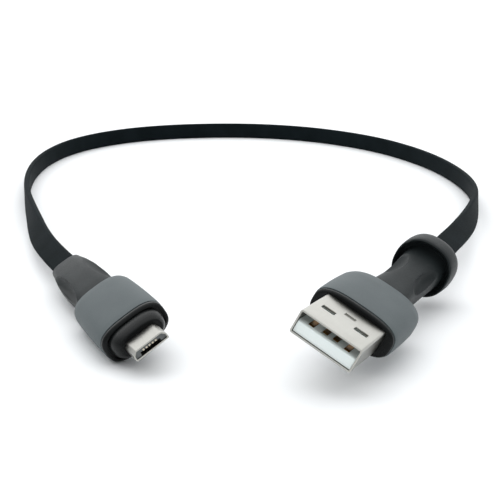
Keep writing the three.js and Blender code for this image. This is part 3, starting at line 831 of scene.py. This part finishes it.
def add_b_insulator():
    """The insulator has a slot for the socket's tongue, room for the latches and a hole for each contact."""
    fit = 0.04
    edge = rounded(b_outline(B_SHELL["wall"] + fit), 0.1)
    front, back = 0.3, 9.1
    piece = new_piece("micro_b_insulator", carry(edge, "y", front, back))
    half, below, plate = 2.06, -B_SHELL["height"] / 2 + B_SHELL["wall"] + fit - PAST, -0.02
    slot = rounded([(-half, below), (half, below), (half, plate), (-half, plate)], 0.1)
    cut(piece, carry(slot, "y", 0, 5.2))
    for side in (-1, 1):
        x = B_LATCH_X * side
        cut(piece, block((x - 0.35, x + 0.35), (0.9, 6), (-2 * PAST, -0.04)))
    low, high = B_CONTACT_Z
    for x in B_CONTACT_X.values():
        reach = B_CONTACT_WIDTH / 2 + fit
        cut(piece, block((x - reach, x + reach), (-PAST, back + PAST), (low - fit, high + 0.05)))
        opening = rounded(rectangle(0.42, 0.4, (x, 0.14)), 0.12)
        cut(piece, carry(opening, "y", -PAST, 1.2))
    bevel(piece, 0.025)
    place(piece, "micro_b_insulator", MICRO_B)


def add_b_contacts():
    """The contacts, with their tips bent up into the openings in the insulator's front."""
    low, high = B_CONTACT_Z
    for name, x in B_CONTACT_X.items():
        node = f"micro_b_contact_{name}"
        front, raised, half = 0.34, 0.28, B_CONTACT_WIDTH / 2
        tip = [(1.1, high), (0.7, raised), (front, raised)]
        side = [(front, low), (B_TAIL_END, low), (B_TAIL_END, high), *tip]
        piece = new_piece(node, carry(rounded(side, 0.06, 2), "x", x - half, x + half))
        bevel(piece, 0.02)
        place(piece, node, MICRO_B, look="pale_contact")


def add_b_latches():
    """Two leaf springs, each with a hook that stands out of its window in the wide side."""
    front, end, bottom, top, tip = 1.65, 5.9, -0.57, -0.4, -1.17
    hook = [(front, bottom), (1.8, -0.6), (2.3, tip), (2.6, tip), (3.15, -0.6), (3.3, bottom)]
    leaf = [*hook, (end, bottom), (end, top), (front, top)]
    for side, name in ((-1, "left"), (1, "right")):
        node = f"micro_b_latch_{name}"
        x = B_LATCH_X * side
        piece = new_piece(node, carry(rounded(leaf, 0.08, 3), "x", x - 0.25, x + 0.25))
        bevel(piece, 0.03)
        place(piece, node, MICRO_B, body=f"latch_{name}")


def add_b_mouldings():
    inner = new_piece("micro_b_inner_mould", loft(B_MOULD))
    cut(inner, block((-3.2, 3.2), (0, B_RELIEF_END), (-1.1, 1.1)))
    place(inner, "micro_b_inner_mould", MICRO_B)

    nose = new_piece("micro_b_nose", loft(B_RIM, 0.15))
    join(nose, loft(B_CORE))
    cut(nose, loft(B_GROOVE))
    join(nose, loft(B_BOSS, 0.15))
    cut(nose, carry(rounded(b_outline(-METAL_FIT), 0.3), "y", 0, 9.8), loft(inset(B_MOULD, -0.1)))
    cut(nose, block((-3.2, 3.2), (9, B_RELIEF_END), (-1.1, 1.1)))
    bevel(nose, 0.05, angle=60)
    place(nose, "micro_b_nose", MICRO_B)

    sleeve = new_piece("micro_b_sleeve", loft(B_SLEEVE, 0.25))
    cavity = inset(B_SLEEVE[:-2], 0.8)
    cavity[0] = (cavity[0][0] - PAST, *cavity[0][1:])
    neck = inset([(27.5, 8.9, 4.9, 3.6, 0, 0.05), (31, 8.9, 4.9, 3.6, 0, 0.05)], -SNUG)
    cut(sleeve, loft(cavity), skin(rings_of(neck)))
    bevel(sleeve, 0.12, segments=3, angle=50)
    place(sleeve, "micro_b_sleeve", MICRO_B)

    relief = new_piece("micro_b_strain_relief", loft(B_RELIEF, 0.4))
    join(relief, loft([(27.9, 9.2, 4.5, 2.8), (28.5, 8.9, 4.4, 2.8)]))
    cut(relief, passage(34, B_RELIEF_END, 0))
    cut(relief, *side_scoops((6.2, 30, 2.9), (3.9, 41, 2), (5.8, 54, 2.7), 1.6))
    place(relief, "micro_b_strain_relief", MICRO_B, sharp=50)


def add_micro_b():
    add_b_shell()
    add_b_insulator()
    add_b_contacts()
    add_b_latches()
    add_b_mouldings()
    soldered = [name for name in B_CONTACT_X if name != "id"]
    heights = (0.5, -0.5, 0.5, -0.5)
    starts = [(B_CONTACT_X[name], B_TAIL_END + 0.08, z) for name, z in zip(soldered, heights)]
    add_wires(MICRO_B, "micro_b", starts, B_RELIEF_END, 0)


# ---- floor and light ----
def add_floor():
    size = 3.0
    corners = [(-size, -size, 0), (size, -size, 0), (size, size, 0), (-size, size, 0)]
    floor = new_object("floor", (corners, [(0, 1, 2, 3)]), scale=1.0)
    surface = Surface("pale_floor", 0.6, specular=0.2)
    cloud = surface.ranged(surface.noise(3, 2), 0.3, 0.7)
    surface.colour(surface.mixed(cloud, (0.86, 0.87, 0.875), (0.88, 0.89, 0.895)))
    floor.data.materials.append(surface.material)


def add_light():
    """One broad soft light from above and behind, in a studio that is bright behind and dim in front."""
    sun = bpy.data.lights.new("overhead", "SUN")
    sun.energy = 1.25
    sun.angle = math.radians(100)
    lamp = bpy.data.objects.new("overhead", sun)
    lamp.rotation_euler = Euler((math.radians(-28), math.radians(-6), 0))
    scene.collection.objects.link(lamp)

    world = bpy.data.worlds.new("studio")
    world.use_nodes = True
    tree = world.node_tree
    direction = tree.nodes.new("ShaderNodeTexCoord").outputs["Generated"]
    facing = tree.nodes.new("ShaderNodeVectorMath")
    facing.operation = "DOT_PRODUCT"
    facing.inputs[1].default_value = (0.0, 0.5, 0.87)
    tree.links.new(direction, facing.inputs[0])
    level = tree.nodes.new("ShaderNodeMapRange")
    level.interpolation_type = "SMOOTHSTEP"
    level.inputs["From Min"].default_value = -0.4
    level.inputs["From Max"].default_value = 1.0
    level.inputs["To Min"].default_value = 0.4
    level.inputs["To Max"].default_value = 1.3
    tree.links.new(facing.outputs["Value"], level.inputs["Value"])
    background = tree.nodes["Background"]
    background.inputs["Color"].default_value = (0.97, 0.985, 1.0, 1)
    tree.links.new(level.outputs["Result"], background.inputs["Strength"])
    scene.world = world
    scene.view_settings.view_transform = "Standard"


# ---- the whole scene ----
looks = make_looks()
add_camera()
ribbon, ribbon_line = add_ribbon()
add_usb_a()
add_micro_b()
[tuple(point) for point in ribbon_line]
add_floor()
add_light()
